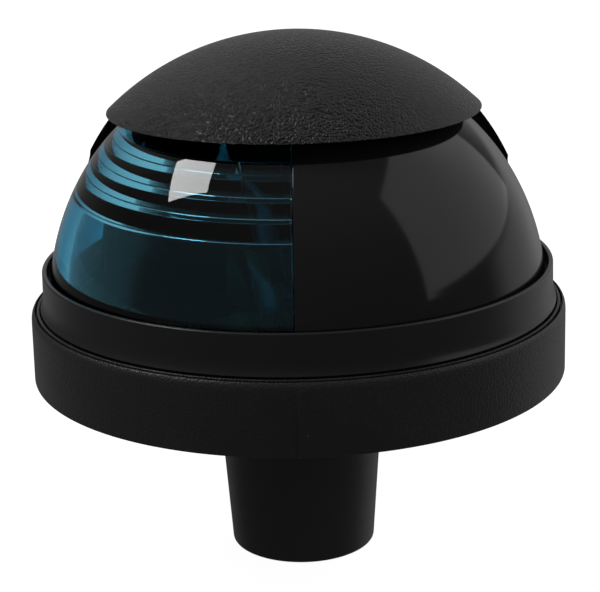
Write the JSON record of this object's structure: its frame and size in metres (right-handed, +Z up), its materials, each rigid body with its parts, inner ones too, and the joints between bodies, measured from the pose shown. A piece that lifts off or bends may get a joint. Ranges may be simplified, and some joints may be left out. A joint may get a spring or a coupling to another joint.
{
  "type": "navigation light",
  "caption": "Deck-mount starboard sidelight with a domed hood, green lens, blanked port side, screwed collar, round base and tapered spigot.",
  "frame": {"origin": "on the light's axis, in the deck plane under the base", "axes": "+Z up along the axis, -Y dead ahead, -X to starboard where the green lens shines"},
  "size_m": [0.08, 0.0804, 0.0788],
  "materials": {
    "housing_black": "fine moulded grain",
    "hood_black": "fine moulded grain",
    "collar_black": "satin",
    "panel_black": "polished",
    "green_lens": "clear blue-green, polished",
    "seal_rubber": "matt",
    "gasket_foam": "closed-cell foam",
    "screw_steel": "plain stainless",
    "bracket_steel": "zinc-plated sheet",
    "holder_brass": "plain brass",
    "carrier_fibre": "laminated fibre",
    "lamp_glass": "clear",
    "cap_brass": "drawn brass",
    "lamp_vitrite": "black glass",
    "solder": "dull solder",
    "tungsten": "drawn wire"
  },
  "bodies": {
    "base": {"base_housing": "housing_black", "deck_gasket": "gasket_foam", "cable_grommet": "seal_rubber", "cover_seal": "seal_rubber", "lamp_bracket": "bracket_steel", "socket_shell": "holder_brass", "starboard_bracket_screw": "screw_steel", "port_bracket_screw": "screw_steel", "starboard_terminal": "holder_brass", "port_terminal": "holder_brass", "starboard_terminal_rivet": "holder_brass", "port_terminal_rivet": "holder_brass", "contact_spring": "screw_steel"},
    "cover": {"hood": "hood_black", "starboard_lens": "green_lens", "blanking_panel": "panel_black", "starboard_front_cover_screw": "screw_steel", "starboard_side_cover_screw": "screw_steel", "port_front_cover_screw": "screw_steel", "port_side_cover_screw": "screw_steel"},
    "collar": {"collar_ring": "collar_black"},
    "lamp": {"lamp_glass": "lamp_glass", "lamp_cap": "cap_brass", "starboard_lamp_pin": "cap_brass", "port_lamp_pin": "cap_brass", "lamp_insulator": "lamp_vitrite", "lamp_contact": "solder", "glass_stem": "lamp_glass", "starboard_filament_support": "tungsten", "port_filament_support": "tungsten", "filament": "tungsten"},
    "plunger": {"contact_plunger": "carrier_fibre", "plunger_contact": "holder_brass"}
  },
  "joints": [
    {"name": "cover_lift", "type": "slide", "parent": "base", "child": "cover", "axis": [0, 0, 1], "range_m": [0, 0.045]},
    {"name": "collar_turn", "type": "hinge", "parent": "cover", "child": "collar", "pos_m": [0, 0, 0.0123], "axis": [0, 0, 1], "range_deg": [0, 180]},
    {"name": "lamp_push", "type": "slide", "parent": "base", "child": "lamp", "axis": [0, 0, -1], "range_m": [0, 0.002], "stiffness_N_per_m": 2000, "springref_m": -0.002},
    {"name": "plunger_travel", "type": "slide", "parent": "base", "child": "plunger", "axis": [0, 0, -1], "range_m": [0, 0.002], "deforming": ["contact_spring"]}
  ],
  "couplings": [
    {"joint": "plunger_travel", "follows": "lamp_push", "ratio": 1}
  ]
}
